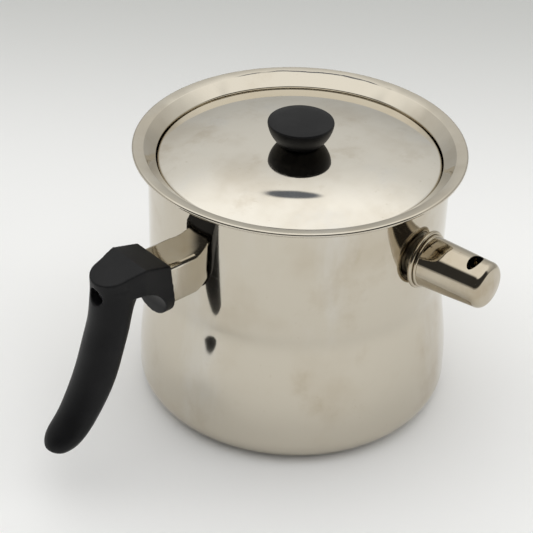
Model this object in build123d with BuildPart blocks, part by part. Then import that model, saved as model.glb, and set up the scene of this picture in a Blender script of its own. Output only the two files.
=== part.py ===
from build123d import *
import math
import os

# Water-jacketed melting pot with a recessed lid, a pistol-grip handle and a filler stub that
# carries a push-on whistle cap.
# Frame: millimetres, +Z up, origin at the centre of the underside of the base.
# The filler stub points along -Y and the handle points 10 degrees past -X, towards +Y.

os.makedirs("parts", exist_ok=True)

# ---------------------------------------------------------------- driving dimensions
SHEET = 0.8              # thickness of the pot's steel sheet
FIT = 0.05               # gap between pieces that sit inside one another

# outer jacket
NECK_R = 83.8            # outside radius of the straight neck
BELLY_R = 90.1           # outside radius of the belly
BELLY_Z = 21.0           # height of the widest point
NECK_START_Z = 82.0      # height where the straight neck begins
JACKET_TOP_Z = 150.3     # upper edge, just under the flare of the inner pot
JACKET_FOOT_R = 83.0     # radius of the jacket's lowest edge
JACKET_FOOT_Z = 1.6      # height of the jacket's lowest edge
JACKET_FLOOR_Z = 5.4     # underside of the jacket's floor

# heat-spreading base
BASE_CAP_R = 80.6
BASE_CAP_T = 0.6
BASE_PLATE_T = JACKET_FLOOR_Z - BASE_CAP_T

# inner pot
WELL_R = 76.0            # inside radius of the well
WELL_FLOOR_Z = 41.0      # upper face of the well's floor
WELL_CORNER_R = 10.0
LEDGE_Z = 141.4          # upper face of the ledge that carries the lid
RECESS_R = 79.4          # inside radius of the lid recess
RECESS_TOP_Z = 148.3
FLARE_R = 86.0           # radius where the flare turns into the brim
FLARE_TOP_Z = 154.1
RIM_R = 92.5
RIM_TOP_Z = 155.1
RIM_BEAD_R = 1.25        # radius of the rolled edge

# lid
LID_R = 78.5
LID_SHEET = 0.8
LID_EDGE_Z = 148.0       # top of the lid's outer edge
LID_CROWN_Z = 155.3      # top of the lid at its centre
KNOB_SEAT_R = 13.0       # flat pad under the knob

# lid knob
KNOB_TOP_R = 18.4
KNOB_FOOT_R = 11.2
KNOB_H = 14.8
INSERT_R = 3.4
INSERT_H = 10.0
KNOB_SCREW_R = 1.95
KNOB_SCREW_HOLE_R = 2.2

# filler stub and whistle cap, all on one level axis
STUB_Z = 116.4           # height of the stub's axis
STUB_R = 11.0
STUB_BORE_R = 10.2
STUB_END = 104.0         # distance of the stub's mouth from the pot's axis
CAP_MOUTH = 85.6         # distance of the cap's open end from the pot's axis
CAP_COLLAR_R = 16.4
CAP_START_R = 14.3
CAP_END_R = 12.9
CAP_END = 128.6
CAP_SHEET = 0.7
CAP_CORNER_R = 4.0
CAP_FLAT_R = 1.0
CAP_DOME_R = (1.0 + (CAP_END_R - CAP_CORNER_R - CAP_FLAT_R) ** 2) / 2.0   # ends square to the axis
SLEEVE_R = 11.3          # inside radius of the grip sleeve
SLEEVE_SHEET = 0.6
SLEEVE_END = 103.0
WHISTLE_R = 12.6
WHISTLE_IN = 110.5       # where the first whistle plate stands
WHISTLE_OUT = 113.6      # where the second whistle plate stands
SLOT_AT = 117.4          # centre of the steam opening along the stub's axis
SLOT_LENGTH = 6.2
SLOT_WIDTH = 13.4
SLOT_TURN = -4.0         # how far the opening is turned from straight up towards +X, in degrees

# handle and its bracket
HANDLE_ANGLE = 170.0     # direction of the handle, in degrees from +X
BRACKET_W = 24.0
BRACKET_H = 25.0
BRACKET_Z = 109.8        # height of the bracket's centre line
BRACKET_T = 1.5
BRACKET_END = 102.6      # distance of the bracket's leaning end from the pot's axis
SEAT_LEAN = 6.5          # how far the handle's seat leans from upright, in degrees
PLATE_AT = 96.0          # where the plate that carries the nut stands
HEAD_W = 29.0
HEAD_SIDE_Z = 104.0      # height where the head's straight sides turn into its round underside
HEAD_BOTTOM_Z = 89.5
NOSE_AT = 129.3          # centre of the head's rounded outer end
HANDLE_SCREW_Z = 114.8
HANDLE_SCREW_R = 2.5
HANDLE_SCREW_HOLE_R = 2.8
SCREW_SEAT = 132.0       # where the screw's washer bears inside the handle
SCREW_RECESS_R = 4.9

# ---------------------------------------------------------------- construction planes
turn = math.radians(HANDLE_ANGLE)
out_dir = (math.cos(turn), math.sin(turn), 0)
side_dir = (math.sin(turn), -math.cos(turn), 0)
# local X runs out along the handle, local Y runs up
handle_plane = Plane(origin=(0, 0, 0), x_dir=out_dir, z_dir=side_dir)
# local X runs out along the stub, local Y runs up
stub_plane = Plane(origin=(0, 0, STUB_Z), x_dir=(0, -1, 0), z_dir=(-1, 0, 0))
stub_axis = Axis((0, 0, STUB_Z), (0, -1, 0))


def across_handle(distance, height=0, lean=0):
    """A plane across the handle's direction, its upper side leaning outwards by an angle."""
    angle = math.radians(lean)
    spot = handle_plane.from_local_coords((distance, height, 0))
    facing = handle_plane.from_local_coords((math.cos(angle), -math.sin(angle), 0))
    return Plane(origin=spot, x_dir=(-side_dir[0], -side_dir[1], 0), z_dir=facing)


def across_stub(distance):
    """A plane square to the stub's axis, at a distance from the pot's axis."""
    return Plane(origin=(0, -distance, STUB_Z), x_dir=(1, 0, 0), z_dir=(0, -1, 0))


# ---------------------------------------------------------------- outer jacket
with BuildPart() as outer_jacket:
    with BuildSketch(Plane.XZ):
        with BuildLine():
            foot = Polyline(
                (0, JACKET_FLOOR_Z),
                (BASE_CAP_R + FIT, JACKET_FLOOR_Z),
                (BASE_CAP_R + FIT, JACKET_FOOT_Z),
                (JACKET_FOOT_R, JACKET_FOOT_Z),
            )
            corner = ThreePointArc(foot @ 1, (87.9, 6.2), (BELLY_R, BELLY_Z - 6))
            belly = ThreePointArc(corner @ 1, (BELLY_R, BELLY_Z), (88.5, 42.0))
            shoulder = TangentArc(belly @ 1, (NECK_R + 0.5, 70.0), tangent=belly % 1)
            throat = TangentArc(shoulder @ 1, (NECK_R, NECK_START_Z), tangent=shoulder % 1)
            Line(throat @ 1, (NECK_R, JACKET_TOP_Z))
            offset(amount=SHEET, side=Side.LEFT)
        make_face()
    revolve(axis=Axis.Z)
    with BuildSketch(across_stub(60)):
        Circle(STUB_BORE_R)
    extrude(amount=40, mode=Mode.SUBTRACT)
outer_jacket.part.label = "outer_jacket"
export_step(outer_jacket.part, "parts/outer_jacket.step")

# ---------------------------------------------------------------- heat-spreading plate
with BuildPart() as base_plate:
    with BuildSketch(Plane.XY.offset(BASE_CAP_T)):
        Circle(BASE_CAP_R - BASE_CAP_T - FIT)
    extrude(amount=BASE_PLATE_T)
base_plate.part.label = "base_plate"
export_step(base_plate.part, "parts/base_plate.step")

# ---------------------------------------------------------------- steel cap of the base
with BuildPart() as base_cap:
    with BuildSketch():
        Circle(BASE_CAP_R)
    extrude(amount=JACKET_FLOOR_Z)
    fillet(base_cap.edges().sort_by(Axis.Z)[0], 1.2)
    with BuildSketch(Plane.XY.offset(BASE_CAP_T)):
        Circle(BASE_CAP_R - BASE_CAP_T)
    extrude(amount=BASE_PLATE_T, mode=Mode.SUBTRACT)
base_cap.part.label = "base_cap"
export_step(base_cap.part, "parts/base_cap.step")

# ---------------------------------------------------------------- inner pot
with BuildPart() as inner_pot:
    with BuildSketch(Plane.XZ):
        with BuildLine():
            Line((0, WELL_FLOOR_Z), (WELL_R - WELL_CORNER_R, WELL_FLOOR_Z))
            RadiusArc(
                (WELL_R - WELL_CORNER_R, WELL_FLOOR_Z),
                (WELL_R, WELL_FLOOR_Z + WELL_CORNER_R),
                -WELL_CORNER_R,
            )
            FilletPolyline(
                (WELL_R, WELL_FLOOR_Z + WELL_CORNER_R),
                (WELL_R, LEDGE_Z),
                (RECESS_R, LEDGE_Z),
                (RECESS_R, RECESS_TOP_Z),
                (FLARE_R, FLARE_TOP_Z),
                (RIM_R - RIM_BEAD_R, RIM_TOP_Z),
                radius=0.85,
            )
            offset(amount=SHEET, side=Side.RIGHT)
        make_face()
        with Locations((RIM_R - RIM_BEAD_R, RIM_TOP_Z - RIM_BEAD_R)):
            Circle(RIM_BEAD_R)
    revolve(axis=Axis.Z)
inner_pot.part.label = "inner_pot"
export_step(inner_pot.part, "parts/inner_pot.step")

# ---------------------------------------------------------------- filler stub
with BuildPart() as filler_stub:
    with BuildSketch(across_stub(70)):
        Circle(STUB_R)
        Circle(STUB_BORE_R, mode=Mode.SUBTRACT)
    extrude(amount=STUB_END - 70)
    with BuildSketch():
        Circle(NECK_R)
    extrude(amount=200, mode=Mode.SUBTRACT)
filler_stub.part.label = "filler_stub"
export_step(filler_stub.part, "parts/filler_stub.step")

# ---------------------------------------------------------------- whistle cap: shell
with BuildPart() as cap_shell:
    with BuildSketch(stub_plane):
        with BuildLine():
            wall = Line((CAP_MOUTH + 1.5, CAP_START_R), (CAP_END - CAP_CORNER_R - 1.0, CAP_END_R))
            shoulder = TangentArc(
                wall @ 1,
                (CAP_END - 1.0, CAP_END_R - CAP_CORNER_R),
                tangent=wall % 1,
            )
            dome = RadiusArc(shoulder @ 1, (CAP_END, CAP_FLAT_R), CAP_DOME_R)
            Line(dome @ 1, (CAP_END, 0))
            offset(amount=CAP_SHEET, side=Side.RIGHT)
        make_face()
        with Locations((CAP_MOUTH + 1.3, CAP_COLLAR_R - 1.3)):
            Circle(1.3)
        with Locations((CAP_MOUTH + 3.6, CAP_START_R - 0.1)):
            Circle(0.9)
    revolve(axis=stub_axis)
    slot_dir = (math.sin(math.radians(SLOT_TURN)), 0, math.cos(math.radians(SLOT_TURN)))
    with BuildSketch(Plane(origin=(0, -SLOT_AT, STUB_Z), x_dir=(0, -1, 0), z_dir=slot_dir)):
        Ellipse(SLOT_LENGTH / 2, SLOT_WIDTH / 2)
    extrude(amount=20, mode=Mode.SUBTRACT)
cap_shell.part.label = "cap_shell"
export_step(cap_shell.part, "parts/cap_shell.step")

# ---------------------------------------------------------------- whistle cap: grip sleeve
with BuildPart() as cap_sleeve:
    with BuildSketch(stub_plane):
        with BuildLine():
            FilletPolyline(
                (SLEEVE_END, SLEEVE_R),
                (CAP_MOUTH + 0.6, SLEEVE_R),
                (CAP_MOUTH + 0.6, CAP_START_R - CAP_SHEET - 0.15),
                radius=0.4,
            )
            offset(amount=SLEEVE_SHEET, side=Side.RIGHT)
        make_face()
    revolve(axis=stub_axis)
    with BuildSketch(across_stub(CAP_MOUTH + 5)):
        with PolarLocations(SLEEVE_R + SLEEVE_SHEET / 2, 4, start_angle=45):
            Rectangle(4, 1.6)
    extrude(amount=20, mode=Mode.SUBTRACT)
cap_sleeve.part.label = "cap_sleeve"
export_step(cap_sleeve.part, "parts/cap_sleeve.step")

# ---------------------------------------------------------------- whistle plates
with BuildPart() as whistle_inner:
    with BuildSketch(stub_plane):
        with BuildLine():
            Polyline(
                (WHISTLE_IN, WHISTLE_R),
                (WHISTLE_IN, 8.5),
                (WHISTLE_IN - 1.4, 6.5),
                (WHISTLE_IN - 1.4, 1.6),
            )
            offset(amount=0.5, side=Side.RIGHT)
        make_face()
    revolve(axis=stub_axis)
whistle_inner.part.label = "whistle_inner"
export_step(whistle_inner.part, "parts/whistle_inner.step")

with BuildPart() as whistle_outer:
    with BuildSketch(stub_plane):
        with BuildLine():
            rim_line = Line((WHISTLE_IN, WHISTLE_R), (WHISTLE_OUT - 1.4, WHISTLE_R))
            ThreePointArc(rim_line @ 1, (WHISTLE_OUT + 1.2, 7.6), (WHISTLE_OUT + 2.6, 1.6))
            offset(amount=0.5, side=Side.RIGHT)
        make_face()
    revolve(axis=stub_axis)
whistle_outer.part.label = "whistle_outer"
export_step(whistle_outer.part, "parts/whistle_outer.step")

# ---------------------------------------------------------------- lid
with BuildPart() as lid_disc:
    with BuildSketch(Plane.XZ):
        with BuildLine():
            seat = Line((KNOB_SCREW_HOLE_R, LID_CROWN_Z), (KNOB_SEAT_R, LID_CROWN_Z))
            crown = TangentArc(seat @ 1, (44.0, LID_CROWN_Z - 1.5), tangent=seat % 1)
            slope = TangentArc(crown @ 1, (LID_R - 1.8, LID_EDGE_Z), tangent=crown % 1)
            edge_arc = TangentArc(slope @ 1, (LID_R, LID_EDGE_Z - 2.0), tangent=slope % 1)
            Line(edge_arc @ 1, (LID_R, LEDGE_Z))
            offset(amount=LID_SHEET, side=Side.RIGHT)
        make_face()
    revolve(axis=Axis.Z)
lid_disc.part.label = "lid_disc"
export_step(lid_disc.part, "parts/lid_disc.step")

# ---------------------------------------------------------------- lid knob
with BuildPart() as lid_knob:
    with BuildSketch(Plane.XZ):
        with BuildLine():
            foot = Line((0, LID_CROWN_Z), (KNOB_FOOT_R, LID_CROWN_Z))
            bowl = ThreePointArc(
                foot @ 1,
                (15.9, LID_CROWN_Z + 5.6),
                (KNOB_TOP_R, LID_CROWN_Z + KNOB_H - 2.0),
            )
            lip = Line(bowl @ 1, (KNOB_TOP_R - 0.3, LID_CROWN_Z + KNOB_H - 0.9))
            crest = TangentArc((1.0, LID_CROWN_Z + KNOB_H), lip @ 1, tangent=(1, 0))
            Polyline(crest @ 0, (0, LID_CROWN_Z + KNOB_H), foot @ 0)
        make_face()
    revolve(axis=Axis.Z)
    with BuildSketch(Plane.XY.offset(LID_CROWN_Z)):
        Circle(INSERT_R)
    extrude(amount=INSERT_H, mode=Mode.SUBTRACT)
lid_knob.part.label = "lid_knob"
export_step(lid_knob.part, "parts/lid_knob.step")

# ---------------------------------------------------------------- threaded insert in the knob
with BuildPart() as knob_insert:
    with BuildSketch(Plane.XY.offset(LID_CROWN_Z)):
        Circle(INSERT_R - FIT / 2)
        Circle(KNOB_SCREW_R + FIT / 2, mode=Mode.SUBTRACT)
    extrude(amount=INSERT_H - FIT)
knob_insert.part.label = "knob_insert"
export_step(knob_insert.part, "parts/knob_insert.step")

# ---------------------------------------------------------------- washer under the lid
with BuildPart() as knob_washer:
    with BuildSketch(Plane.XY.offset(LID_CROWN_Z - LID_SHEET)):
        Circle(5.5)
        Circle(KNOB_SCREW_HOLE_R, mode=Mode.SUBTRACT)
    extrude(amount=-0.9)
knob_washer.part.label = "knob_washer"
export_step(knob_washer.part, "parts/knob_washer.step")

# ---------------------------------------------------------------- screw that holds the knob
with BuildPart() as knob_screw:
    with BuildSketch(Plane.XY.offset(LID_CROWN_Z - LID_SHEET - 0.9)):
        Circle(3.9)
    extrude(amount=-2.6)
    fillet(knob_screw.edges().sort_by(Axis.Z)[0], 1.2)
    with BuildSketch(Plane.XY.offset(LID_CROWN_Z - LID_SHEET - 0.9 - 2.6)):
        Rectangle(4.4, 1.0)
        Rectangle(1.0, 4.4)
    extrude(amount=1.5, mode=Mode.SUBTRACT)
    with BuildSketch(Plane.XY.offset(LID_CROWN_Z - LID_SHEET - 0.9)):
        Circle(KNOB_SCREW_R)
    extrude(amount=LID_SHEET + 0.9 + 8.5)
knob_screw.part.label = "knob_screw"
export_step(knob_screw.part, "parts/knob_screw.step")

# ---------------------------------------------------------------- handle bracket
with BuildPart() as handle_bracket:
    with BuildSketch(across_handle(BRACKET_END, BRACKET_Z, SEAT_LEAN)):
        RectangleRounded(BRACKET_W, BRACKET_H, 3.0)
        RectangleRounded(BRACKET_W - 2 * BRACKET_T, BRACKET_H - 2 * BRACKET_T, 1.5, mode=Mode.SUBTRACT)
        with Locations((0, -BRACKET_H / 2)):
            Rectangle(BRACKET_W - 10, 8, mode=Mode.SUBTRACT)
    extrude(amount=40, dir=(-out_dir[0], -out_dir[1], 0))
    with BuildSketch():
        Circle(NECK_R)
    extrude(amount=200, mode=Mode.SUBTRACT)
handle_bracket.part.label = "handle_bracket"
export_step(handle_bracket.part, "parts/handle_bracket.step")

# ---------------------------------------------------------------- plate inside the bracket
with BuildPart() as bracket_plate:
    with BuildSketch(across_handle(PLATE_AT)):
        with Locations((0, BRACKET_Z)):
            RectangleRounded(BRACKET_W - 2 * BRACKET_T - FIT, BRACKET_H - 2 * BRACKET_T - 0.6, 1.5)
        with Locations((0, HANDLE_SCREW_Z)):
            Circle(HANDLE_SCREW_HOLE_R, mode=Mode.SUBTRACT)
    extrude(amount=1.5)
bracket_plate.part.label = "bracket_plate"
export_step(bracket_plate.part, "parts/bracket_plate.step")

# ---------------------------------------------------------------- nut behind the plate
with BuildPart() as bracket_nut:
    with BuildSketch(across_handle(PLATE_AT)):
        with Locations((0, HANDLE_SCREW_Z)):
            RegularPolygon(4.0, 6, major_radius=False)
            Circle(HANDLE_SCREW_R + FIT / 2, mode=Mode.SUBTRACT)
    extrude(amount=-4.0)
bracket_nut.part.label = "bracket_nut"
export_step(bracket_nut.part, "parts/bracket_nut.step")


# ---------------------------------------------------------------- handle grip
def grip_plane(distance, height, lean):
    """A plane square to the grip, where the grip leans outwards by an angle from upright."""
    angle = math.radians(lean)
    spot = handle_plane.from_local_coords((distance, height, 0))
    outward = handle_plane.from_local_coords((math.cos(angle), math.sin(angle), 0))
    along = handle_plane.from_local_coords((math.sin(angle), -math.cos(angle), 0))
    return Plane(origin=spot, x_dir=outward, z_dir=along)


# distance, height, lean, depth of the section behind and in front of its widest line, width
GRIP_SECTIONS = [
    (129.3, 119.0, 0, 11.8, 14.0, 25.2),
    (129.6, 111.0, 3, 12.0, 12.8, 25.4),
    (130.3, 104.0, 7, 12.1, 9.4, 25.4),
    (131.4, 97.0, 11, 12.1, 8.3, 25.4),
    (135.4, 85.0, 18, 11.6, 8.6, 25.4),
    (142.2, 67.0, 23, 10.9, 9.0, 25.2),
    (151.8, 50.0, 31, 9.4, 8.3, 24.0),
    (160.4, 39.2, 33, 8.5, 8.2, 22.4),
    (168.4, 32.4, 20, 7.0, 9.6, 18.4),
    (169.6, 29.0, 9, 6.4, 7.6, 13.0),
]

with BuildPart() as handle_grip:
    # head, seen from the side
    with BuildSketch(handle_plane):
        with BuildLine():
            top = Polyline((98.0, 88.0), (102.2, 124.6), (118.5, 128.8), (141.6, 123.4))
            back = Polyline(top @ 1, (141.6, 108.0), (128.0, 112.8), (119.0, 112.8))
            arch = ThreePointArc(back @ 1, (109.0, 107.2), (104.9, 96.0))
            Polyline(arch @ 1, (104.4, 88.0), top @ 0)
        make_face()
    extrude(amount=HEAD_W / 2, both=True)
    # head, seen from above
    with BuildSketch(Plane(origin=(0, 0, 60), x_dir=out_dir, z_dir=(0, 0, 1))):
        with BuildLine():
            nose = EllipticalCenterArc((NOSE_AT, 0), 12.1, 12.2, start_angle=-90, arc_size=180)
            near = Polyline((80, HEAD_W / 2), (119, HEAD_W / 2), nose @ 1)
            far = Polyline((80, -HEAD_W / 2), (119, -HEAD_W / 2), nose @ 0)
            Line(far @ 0, near @ 0)
        make_face()
    extrude(amount=80, mode=Mode.INTERSECT)
    # head, seen from its end
    with BuildSketch(across_handle(80)):
        with BuildLine():
            side = Line((-HEAD_W / 2, 140), (-HEAD_W / 2, HEAD_SIDE_Z))
            round_side = ThreePointArc(side @ 1, (0, HEAD_BOTTOM_Z), (HEAD_W / 2, HEAD_SIDE_Z))
            Polyline(round_side @ 1, (HEAD_W / 2, 140), side @ 0)
        make_face()
    extrude(amount=80, mode=Mode.INTERSECT)
    # grip
    for distance, height, lean, behind, before, width in GRIP_SECTIONS:
        with BuildSketch(grip_plane(distance, height, lean)):
            with BuildLine():
                EllipticalCenterArc((0, 0), behind, width / 2, start_angle=-90, arc_size=180)
                EllipticalCenterArc((0, 0), before, width / 2, start_angle=90, arc_size=180)
            make_face()
    loft()
    fillet(handle_grip.faces().sort_by(Axis.Z)[0].edges(), 1.5)
    # seat for the bracket
    with BuildSketch(across_handle(BRACKET_END + FIT, BRACKET_Z, SEAT_LEAN)):
        RectangleRounded(BRACKET_W + 2 * FIT, BRACKET_H + 2 * FIT, 3.0 + FIT)
    extrude(amount=20, dir=(-out_dir[0], -out_dir[1], 0), mode=Mode.SUBTRACT)
    # screw hole and its recess
    with BuildSketch(across_handle(BRACKET_END - 4)):
        with Locations((0, HANDLE_SCREW_Z)):
            Circle(HANDLE_SCREW_HOLE_R)
    extrude(amount=50, mode=Mode.SUBTRACT)
    with BuildSketch(across_handle(SCREW_SEAT)):
        with Locations((0, HANDLE_SCREW_Z)):
            Circle(SCREW_RECESS_R)
    extrude(amount=20, mode=Mode.SUBTRACT)
handle_grip.part.label = "handle_grip"
export_step(handle_grip.part, "parts/handle_grip.step")

# ---------------------------------------------------------------- washer of the handle's screw
with BuildPart() as handle_washer:
    with BuildSketch(across_handle(SCREW_SEAT)):
        with Locations((0, HANDLE_SCREW_Z)):
            Circle(SCREW_RECESS_R - 0.1)
            Circle(HANDLE_SCREW_HOLE_R, mode=Mode.SUBTRACT)
    extrude(amount=1.0)
handle_washer.part.label = "handle_washer"
export_step(handle_washer.part, "parts/handle_washer.step")

# ---------------------------------------------------------------- long screw of the handle
with BuildPart() as handle_screw:
    with BuildSketch(across_handle(SCREW_SEAT + 1.0)):
        with Locations((0, HANDLE_SCREW_Z)):
            Circle(SCREW_RECESS_R - 0.5)
    extrude(amount=3.2)
    with BuildSketch(across_handle(SCREW_SEAT + 1.0 + 3.2)):
        with Locations((0, HANDLE_SCREW_Z)):
            Rectangle(5.0, 1.1)
            Rectangle(1.1, 5.0)
    extrude(amount=-1.9, mode=Mode.SUBTRACT)
    with BuildSketch(across_handle(SCREW_SEAT + 1.0)):
        with Locations((0, HANDLE_SCREW_Z)):
            Circle(HANDLE_SCREW_R)
    extrude(amount=-(SCREW_SEAT + 1.0 - PLATE_AT + 6.0))
handle_screw.part.label = "handle_screw"
export_step(handle_screw.part, "parts/handle_screw.step")
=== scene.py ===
"""Looks of a water-jacketed melting pot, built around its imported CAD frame.

The turned steel pieces are spun again as smooth walls, the grip is recast as one moulding and
every other CAD node keeps its shape and takes a finish. All sizes are in metres.
"""

import logging
import math
from dataclasses import dataclass
from enum import Enum
from typing import Any

import bmesh
import bpy
from mathutils import Matrix, Vector


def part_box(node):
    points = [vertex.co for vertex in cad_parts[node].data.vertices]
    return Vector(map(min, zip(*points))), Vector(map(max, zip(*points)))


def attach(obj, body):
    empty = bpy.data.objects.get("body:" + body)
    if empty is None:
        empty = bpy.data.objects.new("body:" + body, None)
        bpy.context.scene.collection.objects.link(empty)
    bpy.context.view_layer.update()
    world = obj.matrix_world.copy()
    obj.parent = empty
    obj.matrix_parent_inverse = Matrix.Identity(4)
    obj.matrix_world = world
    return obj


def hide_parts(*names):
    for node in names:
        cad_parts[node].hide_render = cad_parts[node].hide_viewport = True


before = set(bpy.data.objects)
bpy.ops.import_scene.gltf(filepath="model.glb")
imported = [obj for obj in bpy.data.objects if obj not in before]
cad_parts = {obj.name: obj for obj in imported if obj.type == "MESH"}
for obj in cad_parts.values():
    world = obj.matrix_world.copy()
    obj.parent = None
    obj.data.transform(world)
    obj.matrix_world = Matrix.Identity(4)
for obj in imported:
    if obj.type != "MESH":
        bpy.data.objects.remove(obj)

logging.basicConfig(level=logging.INFO, format="%(name)s: %(message)s")
log = logging.getLogger("melting_pot")

MM = 0.001
SHEET = 0.8 * MM             # steel sheet of the pot and its lid
SPIN_STEPS = 256             # facets round a large turned piece
SMALL_SPIN_STEPS = 128       # facets round the cap's beads, its sleeve and the knob
CREASE = math.radians(28)    # edges sharper than this shade crisp
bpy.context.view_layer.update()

Point = tuple[float, float]
Point3 = tuple[float, float, float]


# ------------------------------------------------------------------ outlines and meshes
class Outline:
    """A line drawn point by point in a half plane: distance from an axis, place along it."""

    ARC_STEP = math.radians(3.0)

    def __init__(self, start: Point) -> None:
        """Starts the line at a point."""
        self.points: list[Point] = [start]

    def line(self, end: Point, longest: float = 8 * MM) -> "Outline":
        """Adds a straight run, cut so that no part is longer than a given length.

        Args:
            end: where the run ends.
            longest: greatest length of one part.

        Returns:
            The outline itself, so that calls can be chained.
        """
        x, y = self.points[-1]
        parts = max(1, math.ceil(math.hypot(end[0] - x, end[1] - y) / longest))
        for i in range(1, parts + 1):
            t = i / parts
            self.points.append((x + (end[0] - x) * t, y + (end[1] - y) * t))
        return self

    def _sweep(self, centre: Point, end: Point, turn: float) -> None:
        """Adds the points of an arc about a centre, through a signed angle, up to its end."""
        x, y = self.points[-1]
        parts = max(2, math.ceil(abs(turn) / self.ARC_STEP))
        for i in range(1, parts):
            c, s = math.cos(turn * i / parts), math.sin(turn * i / parts)
            dx, dy = x - centre[0], y - centre[1]
            self.points.append((centre[0] + dx * c - dy * s, centre[1] + dx * s + dy * c))
        self.points.append(end)

    def arc_through(self, middle: Point, end: Point) -> "Outline":
        """Adds the arc that passes through a middle point.

        Args:
            middle: a point on the arc.
            end: where the arc ends.

        Returns:
            The outline itself.
        """
        (ax, ay), (bx, by), (cx, cy) = self.points[-1], middle, end
        d = 2 * (ax * (by - cy) + bx * (cy - ay) + cx * (ay - by))
        a2, b2, c2 = ax * ax + ay * ay, bx * bx + by * by, cx * cx + cy * cy
        centre = (
            (a2 * (by - cy) + b2 * (cy - ay) + c2 * (ay - by)) / d,
            (a2 * (cx - bx) + b2 * (ax - cx) + c2 * (bx - ax)) / d,
        )
        first = math.atan2(ay - centre[1], ax - centre[0])
        last = math.atan2(cy - centre[1], cx - centre[0])
        turn = (last - first) % math.tau
        if d < 0:
            turn -= math.tau
        self._sweep(centre, end, turn)
        return self

    def arc_onwards(self, end: Point, heading: Point | None = None) -> "Outline":
        """Adds the arc that leaves the last point along a heading.

        Args:
            end: where the arc ends.
            heading: direction at the arc's start, or None to carry on as the line runs.

        Returns:
            The outline itself.
        """
        x, y = self.points[-1]
        if heading is None:
            heading = self.heading()
        length = math.hypot(*heading)
        nx, ny = -heading[1] / length, heading[0] / length
        dx, dy = end[0] - x, end[1] - y
        reach = (dx * dx + dy * dy) / (2 * (dx * nx + dy * ny))
        centre = (x + nx * reach, y + ny * reach)
        first = math.atan2(y - centre[1], x - centre[0])
        last = math.atan2(end[1] - centre[1], end[0] - centre[0])
        turn = (last - first) % math.tau
        if reach < 0:
            turn -= math.tau
        self._sweep(centre, end, turn)
        return self

    def heading(self) -> Point:
        """Direction at the end of the line, corrected for the half step that an arc's chord lags."""
        (ax, ay), (bx, by) = self.points[-2], self.points[-1]
        angle = math.atan2(by - ay, bx - ax)
        if len(self.points) > 2:
            zx, zy = self.points[-3]
            bend = angle - math.atan2(ay - zy, ax - zx)
            bend = (bend + math.pi) % math.tau - math.pi
            if abs(bend) < 1.2 * self.ARC_STEP:
                angle += bend / 2
        return math.cos(angle), math.sin(angle)

    def rounded(self, corners: list[Point], radius: float) -> "Outline":
        """Adds straight runs through corner points, each corner but the last rounded off.

        Args:
            corners: the corners, and then the end of the last run.
            radius: radius of the rounded corners.

        Returns:
            The outline itself.
        """
        for corner, after in zip(corners, corners[1:]):
            before = Vector(self.points[-1])
            here, onward = Vector(corner), Vector(after)
            u, v = (before - here).normalized(), (onward - here).normalized()
            half = u.angle(v) / 2
            cut = radius / math.tan(half)
            start, end = here + u * cut, here + v * cut
            self.line(tuple(start))
            self.arc_onwards(tuple(end), heading=tuple(-u))
        self.line(corners[-1])
        return self

    def beside(self, distance: float) -> list[Point]:
        """The points of a parallel line, to the left if the distance is positive."""
        path = [Vector(p) for p in self.points]
        normals = []
        for a, b in zip(path, path[1:]):
            run = (b - a).normalized()
            normals.append(Vector((-run.y, run.x)))
        moved = []
        for i, p in enumerate(path):
            before, after = normals[max(0, i - 1)], normals[min(i, len(normals) - 1)]
            bisector = (before + after).normalized()
            moved.append(tuple(p + bisector * (distance / max(0.3, bisector.dot(after)))))
        return moved

    def walled(self, thickness: float) -> list[Point]:
        """The closed outline of a sheet that follows the line.

        Args:
            thickness: sheet thickness, to the left of the line if positive, else to its right.

        Returns:
            The closed outline's points, anticlockwise.
        """
        return anticlockwise(self.points + self.beside(thickness)[::-1])


def anticlockwise(points: list[Point]) -> list[Point]:
    """The same closed outline, turned if need be to run anticlockwise."""
    area = sum(a[0] * b[1] - b[0] * a[1] for a, b in zip(points, points[1:] + points[:1]))
    return points if area > 0 else points[::-1]


def add_piece(name: str, mesh: bpy.types.Mesh, material: bpy.types.Material) -> bpy.types.Object:
    """Links a mesh into the scene as a piece with one material.

    Args:
        name: the piece's name.
        mesh: its mesh, in place.
        material: its finish.

    Returns:
        The new object.
    """
    mesh.materials.clear()
    mesh.materials.append(material)
    piece = bpy.data.objects.new(name, mesh)
    bpy.context.scene.collection.objects.link(piece)
    return piece


def spin(
    name: str,
    outline: list[Point],
    material: bpy.types.Material,
    steps: int = SPIN_STEPS,
    place: Matrix = Matrix.Identity(4),
) -> bpy.types.Object:
    """Turns a closed outline about the Z axis into a smooth solid of revolution.

    Args:
        name: the piece's name.
        outline: closed anticlockwise outline of (radius, height) points.
        material: its finish.
        steps: facets round the axis.
        place: where the turned piece goes.

    Returns:
        The new object.
    """
    bm = bmesh.new()
    rings: list[list[bmesh.types.BMVert]] = []
    for r, z in outline:
        if r < 1e-7:
            rings.append([bm.verts.new((0, 0, z))] * steps)
            continue
        angles = [math.tau * k / steps for k in range(steps)]
        rings.append([bm.verts.new((r * math.cos(a), r * math.sin(a), z)) for a in angles])
    for lower, upper in zip(rings, rings[1:] + rings[:1]):
        if lower[0] is lower[1] and upper[0] is upper[1]:
            continue
        for k in range(steps):
            m = (k + 1) % steps
            corners = dict.fromkeys((lower[k], lower[m], upper[m], upper[k]))
            bm.faces.new(list(corners)).smooth = True
    mark_creases(bm, CREASE)
    bm.transform(place)
    mesh = bpy.data.meshes.new(name)
    bm.to_mesh(mesh)
    bm.free()
    return add_piece(name, mesh, material)


def mark_creases(bm: bmesh.types.BMesh, angle: float) -> None:
    """Marks the edges whose two faces meet at more than an angle, so that they shade crisp."""
    for edge in bm.edges:
        crisp = len(edge.link_faces) != 2 or edge.calc_face_angle(0.0) > angle
        edge.smooth = not crisp


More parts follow.
